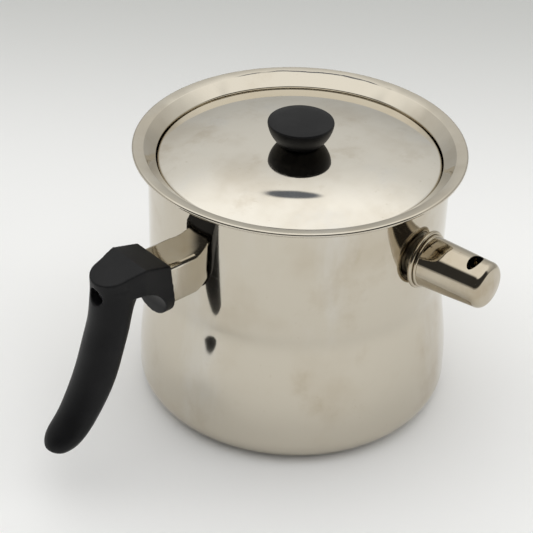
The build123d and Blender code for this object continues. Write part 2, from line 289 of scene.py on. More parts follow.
def merged_copy(node: str, name: str, material: bpy.types.Material) -> bpy.types.Object:
    """A copy of a CAD node with its loose triangles joined and shaded smooth.

    Args:
        node: the CAD node.
        name: the new piece's name.
        material: its finish.

    Returns:
        The new object.
    """
    bm = bmesh.new()
    bm.from_mesh(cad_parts[node].data)
    bmesh.ops.remove_doubles(bm, verts=bm.verts, dist=2e-6)
    bmesh.ops.dissolve_degenerate(bm, edges=bm.edges, dist=1e-6)
    for face in bm.faces:
        face.smooth = True
    mark_creases(bm, math.radians(30))
    mesh = bpy.data.meshes.new(name)
    bm.to_mesh(mesh)
    bm.free()
    return add_piece(name, mesh, material)


def settle(piece: bpy.types.Object, crease: float | None = None) -> None:
    """Turns a piece's live modifiers into plain mesh.

    Args:
        piece: the object.
        crease: angle above which edges shade crisp afterwards, or None to leave shading alone.
    """
    graph = bpy.context.evaluated_depsgraph_get()
    materials = list(piece.data.materials)
    mesh = bpy.data.meshes.new_from_object(piece.evaluated_get(graph))
    piece.modifiers.clear()
    piece.data = mesh
    mesh.materials.clear()
    for material in materials:
        mesh.materials.append(material)
    mesh.polygons.foreach_set("material_index", [0] * len(mesh.polygons))
    if crease is not None:
        bm = bmesh.new()
        bm.from_mesh(mesh)
        for face in bm.faces:
            face.smooth = True
        mark_creases(bm, crease)
        bm.to_mesh(mesh)
        bm.free()


def bore(piece: bpy.types.Object, outline: list[Point], place: Matrix, length: float) -> None:
    """Cuts a straight hole with a given cross-section through a piece.

    Args:
        piece: the object to cut.
        outline: the hole's closed outline in its own plane.
        place: the plane; the hole runs along its Z, from its origin.
        length: how far the hole runs.
    """
    bm = bmesh.new()
    low = [bm.verts.new((x, y, 0)) for x, y in outline]
    high = [bm.verts.new((x, y, length)) for x, y in outline]
    bm.faces.new(low[::-1])
    bm.faces.new(high)
    for k, _ in enumerate(outline):
        m = (k + 1) % len(outline)
        bm.faces.new((low[k], low[m], high[m], high[k]))
    bm.transform(place)
    mesh = bpy.data.meshes.new("cutter")
    bm.to_mesh(mesh)
    bm.free()
    cutter = bpy.data.objects.new("cutter", mesh)
    bpy.context.scene.collection.objects.link(cutter)
    cut = piece.modifiers.new("cut", "BOOLEAN")
    cut.operation, cut.solver, cut.object = "DIFFERENCE", "EXACT", cutter
    bpy.context.view_layer.update()
    settle(piece, CREASE)
    bpy.data.objects.remove(cutter)


def ellipse(half_x: float, half_y: float, steps: int = 48) -> list[Point]:
    """Points of an ellipse about the origin, anticlockwise."""
    angles = [math.tau * k / steps for k in range(steps)]
    return [(half_x * math.cos(a), half_y * math.sin(a)) for a in angles]


def report(piece: bpy.types.Object, body: str, slot: str, *nodes: str) -> None:
    """Hangs a piece on its body, hides and logs the nodes it stands for, and logs its box.

    Args:
        piece: the finished piece.
        body: the CAD body it moves with.
        slot: not used.
        nodes: CAD nodes that it replaces.
    """
    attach(piece, body)
    if nodes:
        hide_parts(*nodes)
    low = [min(v.co[i] for v in piece.data.vertices) * 1000 for i in range(3)]
    high = [max(v.co[i] for v in piece.data.vertices) * 1000 for i in range(3)]
    size = " ".join(f"{a:.1f}..{b:.1f}" for a, b in zip(low, high))
    log.info("%s on %s, %d faces, %s mm", piece.name, body, len(piece.data.polygons), size)
    for node in nodes:
        lo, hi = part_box(node)
        gaps = [abs(a - b * 1000) for a, b in zip(low + high, [*lo, *hi])]
        log.info("  stands for %s, box within %.2f mm", node, max(gaps))


def dress(material: bpy.types.Material, *nodes: str) -> None:
    """Gives CAD nodes that stay a finish, and logs them."""
    for node in nodes:
        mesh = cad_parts[node].data
        if not mesh.materials:
            mesh.materials.append(material)
        for i, _ in enumerate(mesh.materials):
            mesh.materials[i] = material
        log.info("%s keeps its CAD shape, finish %s", node, material.name)


# ------------------------------------------------------------------ shader expressions
class Val:
    """A shader socket that carries a value, with operators that add Math nodes."""

    def __init__(self, shader: "Graph", socket: bpy.types.NodeSocket) -> None:
        """Wraps one output socket of a node tree."""
        self.shader = shader
        self.socket = socket

    def _math(self, operation: str, *values: "Val | float") -> "Val":
        """Adds one Math node on these values."""
        inputs = {i: value for i, value in enumerate(values)}
        return self.shader.node("ShaderNodeMath", {"operation": operation}, inputs)

    def __add__(self, other: "Val | float") -> "Val":
        """Sum."""
        return self._math("ADD", self, other)

    def __radd__(self, other: float) -> "Val":
        """Sum with a number on the left."""
        return self._math("ADD", other, self)

    def __sub__(self, other: "Val | float") -> "Val":
        """Difference."""
        return self._math("SUBTRACT", self, other)

    def __rsub__(self, other: float) -> "Val":
        """Difference from a number on the left."""
        return self._math("SUBTRACT", other, self)

    def __mul__(self, other: "Val | float") -> "Val":
        """Product."""
        return self._math("MULTIPLY", self, other)

    def __rmul__(self, other: float) -> "Val":
        """Product with a number on the left."""
        return self._math("MULTIPLY", other, self)

    def __truediv__(self, other: "Val | float") -> "Val":
        """Quotient."""
        return self._math("DIVIDE", self, other)

    def __pow__(self, other: "Val | float") -> "Val":
        """Power."""
        return self._math("POWER", self, other)

    def above(self, low: float, high: float) -> "Val":
        """A soft step: 0 under low, 1 over high."""
        settings = {"interpolation_type": "SMOOTHSTEP"}
        inputs = {"Value": self, "From Min": low, "From Max": high}
        return self.shader.node("ShaderNodeMapRange", settings, inputs)


class Graph:
    """A shader node tree, built by calls."""

    def __init__(self, tree: bpy.types.NodeTree) -> None:
        """Takes the tree that the nodes go into."""
        self.tree = tree

    def node(
        self,
        kind: str,
        settings: dict[str, Any] | None = None,
        inputs: dict[str | int, Any] | None = None,
        output: str | int = 0,
    ) -> Val:
        """Adds a node of any type.

        Args:
            kind: the node's type.
            settings: its properties, set before its sockets.
            inputs: values or linked sockets by socket name or number.
            output: the output that the result wraps.

        Returns:
            The wrapped output.
        """
        made = self.tree.nodes.new(kind)
        for key, value in (settings or {}).items():
            setattr(made, key, value)
        for key, value in (inputs or {}).items():
            if isinstance(value, Val):
                self.tree.links.new(value.socket, made.inputs[key])
            else:
                made.inputs[key].default_value = value
        return Val(self, made.outputs[output])

    def place(self) -> Val:
        """The point on the surface, in the piece's own frame."""
        return self.node("ShaderNodeTexCoord", output="Object")

    def parts(self, vector: Val) -> tuple[Val, Val, Val]:
        """The three parts of a vector."""
        first = self.node("ShaderNodeSeparateXYZ", inputs={0: vector})
        outputs = first.socket.node.outputs
        return first, Val(self, outputs[1]), Val(self, outputs[2])

    def vector(self, x: Val | float, y: Val | float, z: Val | float) -> Val:
        """A vector made of three values."""
        return self.node("ShaderNodeCombineXYZ", inputs={0: x, 1: y, 2: z})

    def noise(self, at: Val, scale: float, detail: float = 3.0, rough: float = 0.55) -> Val:
        """Noise from 0 to 1 over a vector."""
        inputs = {"Vector": at, "Scale": scale, "Detail": detail, "Roughness": rough}
        return self.node("ShaderNodeTexNoise", inputs=inputs)

    def blend(self, factor: Val | float, a: Any, b: Any) -> Val:
        """Mixes two colours by a factor."""
        inputs = {0: factor, 6: a, 7: b}
        return self.node("ShaderNodeMix", {"data_type": "RGBA"}, inputs, output=2)


class Shader(Graph):
    """A material with its node tree."""

    def __init__(self, name: str) -> None:
        """Starts a material that holds a Principled shader and its output."""
        self.material = bpy.data.materials.new(name)
        self.material.use_nodes = True
        super().__init__(self.material.node_tree)
        self.surface = self.tree.nodes["Principled BSDF"]

    def finish(self, **sockets: Any) -> bpy.types.Material:
        """Fills the Principled shader's sockets, named with _ for a space, and gives the material."""
        for key, value in sockets.items():
            socket = self.surface.inputs[key.replace("_", " ")]
            if isinstance(value, Val):
                self.tree.links.new(value.socket, socket)
            else:
                socket.default_value = value
        return self.material


# ------------------------------------------------------------------ finishes
class Lay(Enum):
    """Which way the fine polishing lines run."""

    ROUND_POT = "round the pot's axis"
    ROUND_STUB = "round the stub's axis"
    ALONG = "straight"


Colour = tuple[float, float, float]


def rgba(colour: Colour) -> tuple[float, float, float, float]:
    """A colour with full alpha."""
    return (*colour, 1.0)


@dataclass(frozen=True)
class PolishedSteel:
    """Mirror-polished stainless steel with heat tint, wiped smudges and fine polishing lines.

    The lines are level rings: on the wall they follow the height, on the lid the radius.
    """

    name: str
    lay: Lay = Lay.ROUND_POT
    clean: Colour = (0.58, 0.535, 0.45)
    tint: Colour = (0.42, 0.345, 0.24)
    cool: Colour = (0.65, 0.635, 0.60)
    smooth: float = 0.03
    smudged: float = 0.11
    stain: float = 0.45
    lines: float = 0.03
    ripple: float = 0.0
    axis_height: float = 0.0

    def material(self) -> bpy.types.Material:
        """Builds the material."""
        s = Shader(self.name)
        at = s.place()
        x, y, z = s.parts(at)
        if self.lay is Lay.ROUND_POT:
            radius = (x * x + y * y) ** 0.5
            along = s.vector(radius, z, 0.0)
        elif self.lay is Lay.ROUND_STUB:
            lifted = z - self.axis_height
            radius = (x * x + lifted * lifted) ** 0.5
            along = s.vector(radius, y, 0.0)
        else:
            along = s.vector(y, z, 0.0)
        turned = s.noise(along, 2600.0, 2.0, 0.6)
        hairlines = s.noise(s.vector(x * 60, y * 60, z * 1500), 1.0, 2.0)
        scratches = s.noise(s.vector(x * 900 + z * 700, y * 40 - z * 30, z * 60), 1.0, 1.0)
        scratch = scratches.above(0.70, 0.76)
        clouds = s.noise(at, 14.0, 4.0, 0.6)
        stains = s.noise(at, 32.0, 6.0, 0.65)
        smears = s.noise(s.vector(x * 30, y * 30, z * 9), 1.0, 5.0, 0.6)
        specks = s.noise(at, 420.0, 2.0).above(0.69, 0.78)
        heat = clouds.above(0.47, 0.70) * 0.55 + (stains.above(0.53, 0.70) * 0.75) * clouds
        base = s.blend(heat * self.stain, rgba(self.clean), rgba(self.tint))
        base = s.blend(smears.above(0.52, 0.75) * 0.45, base, rgba(self.cool))
        base = s.blend(specks * 0.25, base, rgba(self.tint))
        film = smears.above(0.42, 0.72) * 0.6 + stains.above(0.55, 0.75) * 0.4
        rough = self.smooth + film * (self.smudged - self.smooth)
        rough = rough + turned * 0.012 + scratch * 0.10 + hairlines * 0.010
        height = turned * self.lines + hairlines * 0.3 * self.lines - scratch * 0.25 * self.lines
        height = height + s.noise(at, 45.0, 1.0) * self.ripple
        bump = s.node(
            "ShaderNodeBump",
            inputs={"Strength": 0.12, "Distance": 0.0002, "Height": height},
        )
        return s.finish(Base_Color=base, Roughness=rough, Normal=bump, Metallic=1.0)


@dataclass(frozen=True)
class PlainMetal:
    """Rolled, cast or turned metal of the pieces that are mostly hidden."""

    name: str
    colour: Colour
    worn: Colour
    rough: float = 0.35
    grain: float = 1200.0

    def material(self) -> bpy.types.Material:
        """Builds the material."""
        s = Shader(self.name)
        at = s.place()
        x, y, z = s.parts(at)
        streaks = s.noise(s.vector(x * 0.08, y * 0.08, z), self.grain, 3.0)
        patches = s.noise(at, 90.0, 4.0)
        marks = s.noise(at, 600.0, 2.0).above(0.6, 0.75)
        base = s.blend(patches.above(0.4, 0.7) * 0.6, rgba(self.colour), rgba(self.worn))
        rough = self.rough + streaks * 0.12 - marks * 0.06
        bump = s.node(
            "ShaderNodeBump",
            inputs={"Strength": 0.2, "Distance": 0.0002, "Height": streaks + patches * 0.5},
        )
        return s.finish(Base_Color=base, Roughness=rough, Normal=bump, Metallic=1.0)


@dataclass(frozen=True)
class Phenolic:
    """Matt black phenolic moulding, with a fine skin grain, dust and handling shine."""

    name: str
    colour: Colour = (0.0030, 0.0030, 0.0036)
    dusty: Colour = (0.010, 0.010, 0.0105)
    rough: float = 0.44

    def material(self) -> bpy.types.Material:
        """Builds the material."""
        s = Shader(self.name)
        at = s.place()
        skin = s.noise(at, 1500.0, 3.0, 0.6)
        waves = s.noise(at, 160.0, 3.0)
        handling = s.noise(at, 38.0, 4.0)
        dust = s.noise(at, 2600.0, 1.0).above(0.68, 0.74)
        base = s.blend(handling.above(0.4, 0.75) * 0.35, rgba(self.colour), rgba(self.dusty))
        base = s.blend(dust * 0.25, base, (0.06, 0.06, 0.058, 1.0))
        rough = self.rough - handling.above(0.35, 0.7) * 0.08 + skin * 0.10 + dust * 0.2
        bump = s.node(
            "ShaderNodeBump",
            inputs={"Strength": 0.22, "Distance": 0.0002, "Height": skin * 0.6 + waves * 0.4},
        )
        return s.finish(Base_Color=base, Roughness=rough, Normal=bump, Specular_IOR_Level=0.21)


# ------------------------------------------------------------------ outer jacket and base
@dataclass
class OuterJacket:
    """The bellied outer wall, open at the top, with a hole for the filler stub."""

    belly_r: float = 90.1 * MM
    belly_z: float = 21.0 * MM
    neck_r: float = 83.8 * MM
    neck_start_z: float = 82.0 * MM
    top_z: float = 150.3 * MM
    foot_r: float = 83.0 * MM
    foot_z: float = 1.6 * MM
    floor_z: float = 5.4 * MM
    base_r: float = 80.65 * MM
    stub_z: float = 116.4 * MM
    stub_bore_r: float = 10.2 * MM

    def outline(self) -> list[Point]:
        """The wall's closed outline."""
        pen = Outline((0.0, self.floor_z)).line((self.base_r, self.floor_z))
        pen.line((self.base_r, self.foot_z)).line((self.foot_r, self.foot_z))
        pen.arc_through((87.9 * MM, 6.2 * MM), (self.belly_r, self.belly_z - 6 * MM))
        pen.arc_through((self.belly_r, self.belly_z), (88.5 * MM, 42.0 * MM))
        pen.arc_onwards((self.neck_r + 0.5 * MM, 70.0 * MM))
        pen.arc_onwards((self.neck_r, self.neck_start_z))
        pen.line((self.neck_r, self.top_z), longest=3 * MM)
        return pen.walled(SHEET)

    def build(self, steel: bpy.types.Material, plate: bpy.types.Material,
              cap: bpy.types.Material) -> None:
        """Spins the wall, cuts the stub's hole and dresses the base below it.

        Args:
            steel: finish of the wall.
            plate: finish of the heat-spreading plate.
            cap: finish of the base's steel cap.
        """
        wall = spin("jacket_wall", self.outline(), steel)
        hole = Matrix.Translation((0, -60 * MM, self.stub_z)) @ Matrix.Rotation(math.pi / 2, 4, "X")
        bore(wall, ellipse(self.stub_bore_r, self.stub_bore_r), hole, 40 * MM)
        report(wall, "pot", "polished_steel", "outer_jacket")
        pan = merged_copy("base_cap", "base_pan", cap)
        report(pan, "pot", "satin_steel", "base_cap")
        dress(plate, "base_plate")


# ------------------------------------------------------------------ inner pot
@dataclass
class InnerPot:
    """The well with its lid recess, flared brim and rolled edge, all one pressing."""

    well_r: float = 76.0 * MM
    floor_z: float = 41.0 * MM
    corner_r: float = 10.0 * MM
    ledge_z: float = 141.4 * MM
    recess_r: float = 79.4 * MM
    recess_top_z: float = 148.3 * MM
    flare_r: float = 86.0 * MM
    flare_top_z: float = 154.1 * MM
    rim_r: float = 92.5 * MM
    rim_z: float = 155.1 * MM
    bead_r: float = 1.25 * MM
    fold_r: float = 0.85 * MM
    roll_angle: float = math.radians(280)
    roll_steps: int = 30

    def outline(self) -> list[Point]:
        """The pressing's closed outline, with its rolled edge."""
        pen = Outline((0.0, self.floor_z)).line((self.well_r - self.corner_r, self.floor_z))
        pen.arc_onwards((self.well_r, self.floor_z + self.corner_r), heading=(1.0, 0.0))
        bead = (self.rim_r - self.bead_r, self.rim_z - self.bead_r)
        corners = [
            (self.well_r, self.ledge_z),
            (self.recess_r, self.ledge_z),
            (self.recess_r, self.recess_top_z),
            (self.flare_r, self.flare_top_z),
            (bead[0], self.rim_z),
        ]
        pen.rounded(corners, self.fold_r)
        roll = []
        for k in range(1, self.roll_steps):
            angle = math.radians(90) - self.roll_angle * k / self.roll_steps
            roll.append((bead[0] + self.bead_r * math.cos(angle),
                         bead[1] + self.bead_r * math.sin(angle)))
        under = [p for p in pen.beside(-SHEET) if math.dist(p, bead) > self.bead_r]
        return anticlockwise(pen.points + roll + under[::-1])

    def build(self, steel: bpy.types.Material) -> None:
        """Spins the pressing."""
        pot = spin("well_and_brim", self.outline(), steel)
        report(pot, "pot", "polished_steel", "inner_pot")


# ------------------------------------------------------------------ lid
@dataclass
class Lid:
    """The domed lid with its knob, screw, washer and threaded insert."""

    radius: float = 78.9 * MM
    edge_z: float = 148.0 * MM
    ledge_z: float = 141.4 * MM
    crown_z: float = 155.3 * MM
    seat_r: float = 13.0 * MM
    hole_r: float = 2.2 * MM
    knob_top_r: float = 18.4 * MM
    knob_foot_r: float = 11.2 * MM
    knob_h: float = 14.8 * MM
    insert_r: float = 3.4 * MM
    insert_h: float = 10.0 * MM

    def disc_outline(self) -> list[Point]:
        """The closed outline of the lid's sheet."""
        pen = Outline((self.hole_r, self.crown_z)).line((self.seat_r, self.crown_z))
        pen.arc_onwards((44.0 * MM, self.crown_z - 1.5 * MM), heading=(1.0, 0.0))
        pen.arc_onwards((self.radius - 1.8 * MM, self.edge_z))
        pen.arc_onwards((self.radius, self.edge_z - 2.0 * MM))
        pen.line((self.radius, self.ledge_z))
        return pen.walled(-SHEET)

    def knob_outline(self) -> list[Point]:
        """The knob's closed outline, with the bore of its insert."""
        z = self.crown_z
        pen = Outline((self.insert_r, z)).line((self.knob_foot_r - 0.4 * MM, z))
        pen.line((self.knob_foot_r, z + 0.3 * MM))
        pen.arc_through((15.9 * MM, z + 5.6 * MM), (self.knob_top_r, z + self.knob_h - 2.0 * MM))
        pen.line((self.knob_top_r - 0.3 * MM, z + self.knob_h - 0.9 * MM))
        lip = pen.points[-1]
        crest = Outline((0.0, z + self.knob_h)).line((1.0 * MM, z + self.knob_h))
        crest.arc_onwards(lip, heading=(1.0, 0.0))
        pen.points += crest.points[-2::-1]
        pen.line((0.0, z + self.insert_h)).line((self.insert_r, z + self.insert_h))
        return anticlockwise(pen.points)

    def build(self, steel: bpy.types.Material, phenolic: bpy.types.Material,
              brass: bpy.types.Material, zinc: bpy.types.Material) -> None:
        """Spins the lid and its knob, and dresses the screw under them.

        Args:
            steel: finish of the lid.
            phenolic: finish of the knob.
            brass: finish of the knob's insert.
            zinc: finish of the screw and washer.
        """
        disc = spin("lid_dome", self.disc_outline(), steel)
        report(disc, "lid", "polished_steel", "lid_disc")
        knob = spin("knob_moulding", self.knob_outline(), phenolic, SMALL_SPIN_STEPS)
        edge = knob.modifiers.new("edge", "BEVEL")
        edge.width, edge.segments, edge.angle_limit = 0.3 * MM, 3, math.radians(20)
        bpy.context.view_layer.update()
        settle(knob, math.radians(50))
        report(knob, "lid", "phenolic", "lid_knob")
        dress(brass, "knob_insert")
        dress(zinc, "knob_washer", "knob_screw")


# ------------------------------------------------------------------ filler stub and whistle cap
@dataclass
class WhistleCap:
    """The push-on cap: beaded shell with a steam opening, sprung sleeve and whistle plates."""

    axis_z: float = 116.4 * MM
    mouth: float = 85.6 * MM
    collar_r: float = 16.4 * MM
    start_r: float = 14.3 * MM
    end_r: float = 12.9 * MM
    end: float = 128.6 * MM
    sheet: float = 0.7 * MM
    corner_r: float = 4.0 * MM
    flat_r: float = 1.0 * MM
    slot_at: float = 117.4 * MM
    slot_length: float = 6.2 * MM
    slot_width: float = 13.4 * MM
    slot_turn: float = math.radians(-4.0)
    sleeve_r: float = 11.3 * MM
    sleeve_sheet: float = 0.6 * MM
    sleeve_end: float = 103.0 * MM
    wall_steps: int = 192
    fingers: int = 4
    finger_gap: float = 1.6 * MM

    def stub_place(self) -> Matrix:
        """Where a piece spun about Z goes so that it lies on the stub's axis, pointing out."""
        return Matrix.Translation((0, 0, self.axis_z)) @ Matrix.Rotation(math.pi / 2, 4, "X")

    def shell_outline(self) -> list[Point]:
        """The closed outline of the shell with its two beads: radius, distance out."""
        wall_start = self.mouth + 1.5 * MM
        wall_end = self.end - self.corner_r - 1.0 * MM
        pen = Outline((self.start_r, wall_start)).line((self.end_r, wall_end), longest=1.5 * MM)
        shoulder_end = (self.end_r - self.corner_r, self.end - 1.0 * MM)
        pen.arc_onwards(shoulder_end)
        dome = Outline((self.flat_r, self.end))
        dome.arc_onwards(shoulder_end, heading=(1.0, 0.0))
        pen.points += dome.points[-2::-1]
        pen.line((0.0, self.end))
        return pen.walled(self.sheet)

    def bead_ring(self, name: str, radius: float, out: float, thick: float,
                  steel: bpy.types.Material) -> bpy.types.Object:
        """A round bead about the stub's axis.

        Args:
            name: the ring's name.
            radius: distance of the bead's centre from the axis.
            out: distance of the bead from the pot's axis.
            thick: radius of the bead itself.
            steel: its finish.

        Returns:
            The new object.
        """
        ring = [(radius + x, out + y) for x, y in ellipse(thick, thick, 28)]
        return spin(name, ring, steel, SMALL_SPIN_STEPS, self.stub_place())

    def shell(self, steel: bpy.types.Material) -> bpy.types.Object:
        """The shell with its beads and steam opening."""
        shell = spin("cap_wall", self.shell_outline(), steel, self.wall_steps, self.stub_place())
        rings = [
            self.bead_ring("bead", self.collar_r - 1.3 * MM, self.mouth + 1.3 * MM, 1.3 * MM, steel),
            self.bead_ring("bead", self.start_r - 0.1 * MM, self.mouth + 3.6 * MM, 0.9 * MM, steel),
        ]
        for ring in rings:
            join = shell.modifiers.new("join", "BOOLEAN")
            join.operation, join.solver, join.object = "UNION", "EXACT", ring
            bpy.context.view_layer.update()
            settle(shell)
            bpy.data.objects.remove(ring)
        up = Vector((math.sin(self.slot_turn), 0, math.cos(self.slot_turn)))
        along = Vector((0, -1, 0))
        across = up.cross(along)
        turn = Matrix((along, across, up)).transposed().to_4x4()
        place = Matrix.Translation((0, -self.slot_at, self.axis_z)) @ turn
        bore(shell, ellipse(self.slot_length / 2, self.slot_width / 2), place, 20 * MM)
        return shell

    def sleeve(self, steel: bpy.types.Material) -> bpy.types.Object:
        """The sprung sleeve: curved fingers set round the axis by a node tree."""
        tree = bpy.data.node_groups.new("finger_ring", "GeometryNodeTree")
        face = tree.interface
        sizes = {
            "Fingers": ("NodeSocketInt", self.fingers),
            "Radius": ("NodeSocketFloat", self.sleeve_r + self.sleeve_sheet / 2),
            "Sheet": ("NodeSocketFloat", self.sleeve_sheet),
            "Length": ("NodeSocketFloat", self.sleeve_end - self.mouth - 5 * MM),
            "Gap": ("NodeSocketFloat", self.finger_gap),
        }
        for label, (kind, _) in sizes.items():
            face.new_socket(label, in_out="INPUT", socket_type=kind)
        face.new_socket("Geometry", in_out="OUTPUT", socket_type="NodeSocketGeometry")
        make, link = tree.nodes.new, tree.links.new
        given, result = make("NodeGroupInput"), make("NodeGroupOutput")

        def maths(operation: str, a: Any, b: Any) -> bpy.types.NodeSocket:
            """Adds a Math node on sockets or numbers."""
            made = make("ShaderNodeMath")
            made.operation = operation
            for socket, value in zip(made.inputs, (a, b)):
                if isinstance(value, bpy.types.NodeSocket):
                    link(value, socket)
                else:
                    socket.default_value = value
            return made.outputs[0]

        step = maths("DIVIDE", math.tau, given.outputs["Fingers"])
        gap_angle = maths("DIVIDE", given.outputs["Gap"], given.outputs["Radius"])
        arc = make("GeometryNodeCurveArc")
        arc.inputs["Resolution"].default_value = 40
        link(given.outputs["Radius"], arc.inputs["Radius"])
        link(maths("DIVIDE", gap_angle, 2.0), arc.inputs["Start Angle"])
        link(maths("SUBTRACT", step, gap_angle), arc.inputs["Sweep Angle"])
        strip = make("GeometryNodeCurvePrimitiveQuadrilateral")
        link(given.outputs["Sheet"], strip.inputs["Width"])
        link(given.outputs["Length"], strip.inputs["Height"])
        finger = make("GeometryNodeCurveToMesh")
        finger.inputs["Fill Caps"].default_value = True
        link(arc.outputs["Curve"], finger.inputs["Curve"])
        link(strip.outputs["Curve"], finger.inputs["Profile Curve"])
        spots = make("GeometryNodePoints")
        link(given.outputs["Fingers"], spots.inputs["Count"])
        place = make("GeometryNodeInstanceOnPoints")
        turn = make("ShaderNodeCombineXYZ")
        link(maths("MULTIPLY", make("GeometryNodeInputIndex").outputs[0], step), turn.inputs[2])
        link(spots.outputs[0], place.inputs["Points"])
        link(finger.outputs[0], place.inputs["Instance"])
        link(turn.outputs[0], place.inputs["Rotation"])
        real = make("GeometryNodeRealizeInstances")
        link(place.outputs[0], real.inputs[0])
        paint = make("GeometryNodeSetMaterial")
        paint.inputs["Material"].default_value = steel
        link(real.outputs[0], paint.inputs["Geometry"])
        link(paint.outputs[0], result.inputs[0])

        piece = bpy.data.objects.new("sleeve_fingers", bpy.data.meshes.new("sleeve_fingers"))
        bpy.context.scene.collection.objects.link(piece)
        ring = piece.modifiers.new("ring", "NODES")
        ring.node_group = tree
        for item in face.items_tree:
            if item.in_out == "INPUT":
                ring[item.identifier] = sizes[item.name][1]
        bpy.context.view_layer.update()
        mesh = bpy.data.meshes.new_from_object(
            piece.evaluated_get(bpy.context.evaluated_depsgraph_get())
        )
        piece.modifiers.remove(ring)
        middle = (self.sleeve_end + self.mouth + 5 * MM) / 2
        mesh.transform(self.stub_place() @ Matrix.Translation((0, 0, middle))
                       @ Matrix.Rotation(math.pi / 4, 4, "Z"))
        piece.data = mesh
        mouth_line = Outline((self.start_r - self.sheet - 0.15 * MM, self.mouth + 0.6 * MM))
        mouth_line.rounded(
            [(self.sleeve_r, self.mouth + 0.6 * MM), (self.sleeve_r, self.mouth + 5 * MM)], 0.4 * MM
        )
        collar = spin("sleeve_collar", mouth_line.walled(-self.sleeve_sheet), steel,
                      SMALL_SPIN_STEPS, self.stub_place())
        bm = bmesh.new()
        bm.from_mesh(mesh)
        bm.from_mesh(collar.data)
        for facet in bm.faces:
            facet.smooth = True
        mark_creases(bm, CREASE)
        bm.to_mesh(mesh)
        bm.free()
        bpy.data.objects.remove(collar)
        mesh.materials.clear()
        mesh.materials.append(steel)
        mesh.polygons.foreach_set("material_index", [0] * len(mesh.polygons))
        return piece

    def build(self, polished: bpy.types.Material, satin: bpy.types.Material) -> None:
        """Builds the cap and the stub that it sits on.

        Args:
            polished: finish of the shell and the outer whistle plate.
            satin: finish of the sleeve, the inner whistle plate and the stub.
        """
        report(self.shell(polished), "whistle_cap", "polished_steel", "cap_shell")
        report(self.sleeve(satin), "whistle_cap", "satin_steel", "cap_sleeve")
        report(merged_copy("whistle_inner", "whistle_ring", satin),
               "whistle_cap", "satin_steel", "whistle_inner")
        report(merged_copy("whistle_outer", "whistle_dish", polished),
               "whistle_cap", "satin_steel", "whistle_outer")
        report(merged_copy("filler_stub", "filler_tube", satin),
               "pot", "satin_steel", "filler_stub")


# ------------------------------------------------------------------ handle
@dataclass
class Handle:
    """The pistol grip, its bracket and the screw that joins them."""

    voxel: float = 0.55 * MM
    soften: int = 5

    def grip(self, phenolic: bpy.types.Material) -> bpy.types.Object:
        """The grip recast as one moulding with softly rounded edges."""
        grip = merged_copy("handle_grip", "grip_moulding", phenolic)
        skin = grip.modifiers.new("skin", "REMESH")
        skin.mode, skin.voxel_size, skin.use_smooth_shade = "VOXEL", self.voxel, True
        soft = grip.modifiers.new("soft", "SMOOTH")
        soft.factor, soft.iterations = 0.5, self.soften
        bpy.context.view_layer.update()
        settle(grip)
        for polygon in grip.data.polygons:
            polygon.use_smooth = True
        return grip

    def build(self, phenolic: bpy.types.Material, polished: bpy.types.Material,
              satin: bpy.types.Material, zinc: bpy.types.Material) -> None:
        """Builds the handle.

        Args:
            phenolic: finish of the grip.
            polished: finish of the bracket.
            satin: finish of the plate inside it.
            zinc: finish of the screw, washer and nut.
        """
        report(self.grip(phenolic), "pot", "phenolic", "handle_grip")
        bracket = merged_copy("handle_bracket", "bracket_box", polished)
        report(bracket, "pot", "polished_steel", "handle_bracket")
        dress(satin, "bracket_plate")
        dress(zinc, "bracket_nut", "handle_washer", "handle_screw")


